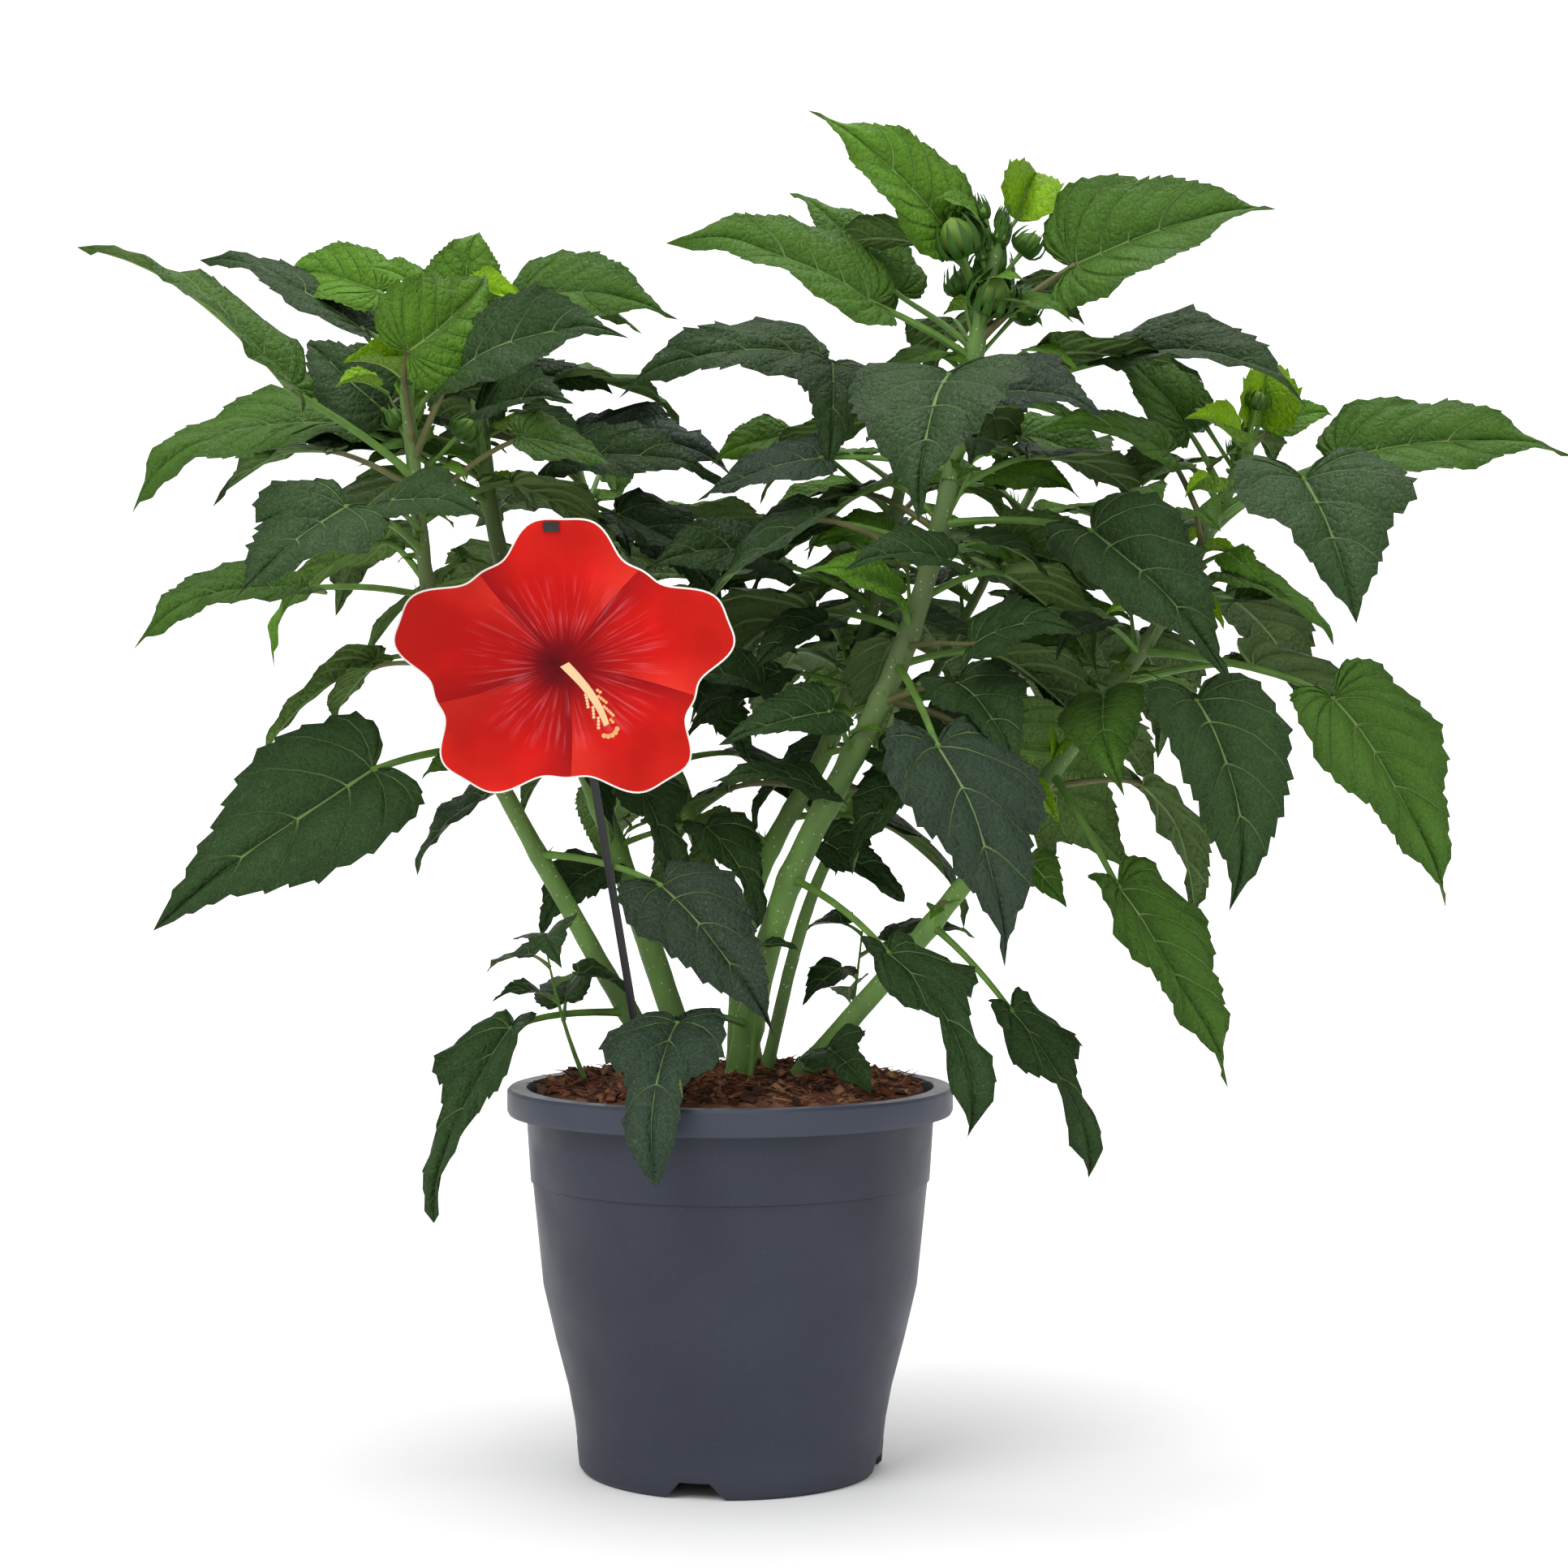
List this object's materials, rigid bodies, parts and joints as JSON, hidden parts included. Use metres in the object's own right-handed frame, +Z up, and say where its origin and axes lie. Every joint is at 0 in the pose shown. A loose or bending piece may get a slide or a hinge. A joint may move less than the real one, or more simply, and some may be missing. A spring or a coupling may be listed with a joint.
{
  "type": "potted hibiscus shrub",
  "caption": "Bushy potted shrub with upright green stems, large pointed toothed leaves and green buds, in a round tapered plastic pot with a flower-shaped label.",
  "frame": {"origin": "centre of the flat underside of the pot", "axes": "+Z up; -Y is the front that the picture label faces; +X to the right seen from the front"},
  "size_m": [0.7727, 0.4256, 0.717],
  "materials": {
    "pot": "dark slate grey polypropylene with a fine speckle",
    "soil": "red-brown coir and bark fibre, matt",
    "card": "printed red plastic card, satin",
    "stake": "black plastic, satin",
    "bark": "light green young bark with fine pale speckles",
    "leaf": "dark green leaf, paler below, with pale veins"
  },
  "bodies": {
    "root": {"pot": "pot", "soil": "soil", "label_card": "card", "label_stake": "stake", "stem_left_front": "bark", "stem_left_back": "bark", "stem_centre_back": "bark", "stem_main": "bark", "stem_right": "bark", "stem_right_back": "bark", "stem_left_far": "bark", "crown_left_front": "leaf", "crown_left_back": "leaf", "crown_centre_back": "leaf", "crown_main": "leaf", "crown_right": "leaf", "crown_right_back": "leaf", "crown_left_far": "leaf", "leaf_left_front_1": "leaf", "leaf_left_front_2": "leaf", "leaf_left_front_3": "leaf", "leaf_left_front_4": "leaf", "leaf_left_back_1": "leaf", "leaf_left_back_2": "leaf", "leaf_left_back_3": "leaf", "leaf_left_back_4": "leaf", "leaf_centre_back_1": "leaf", "leaf_centre_back_2": "leaf", "leaf_main_1": "leaf", "leaf_main_2": "leaf", "leaf_main_3": "leaf", "leaf_main_4": "leaf", "leaf_right_1": "leaf", "leaf_right_2": "leaf", "leaf_right_3": "leaf", "leaf_right_4": "leaf", "leaf_right_back_1": "leaf", "leaf_right_back_2": "leaf", "leaf_left_far_1": "leaf", "shoot_left": "leaf", "shoot_middle": "leaf", "shoot_back": "leaf"}
  },
  "joints": []
}
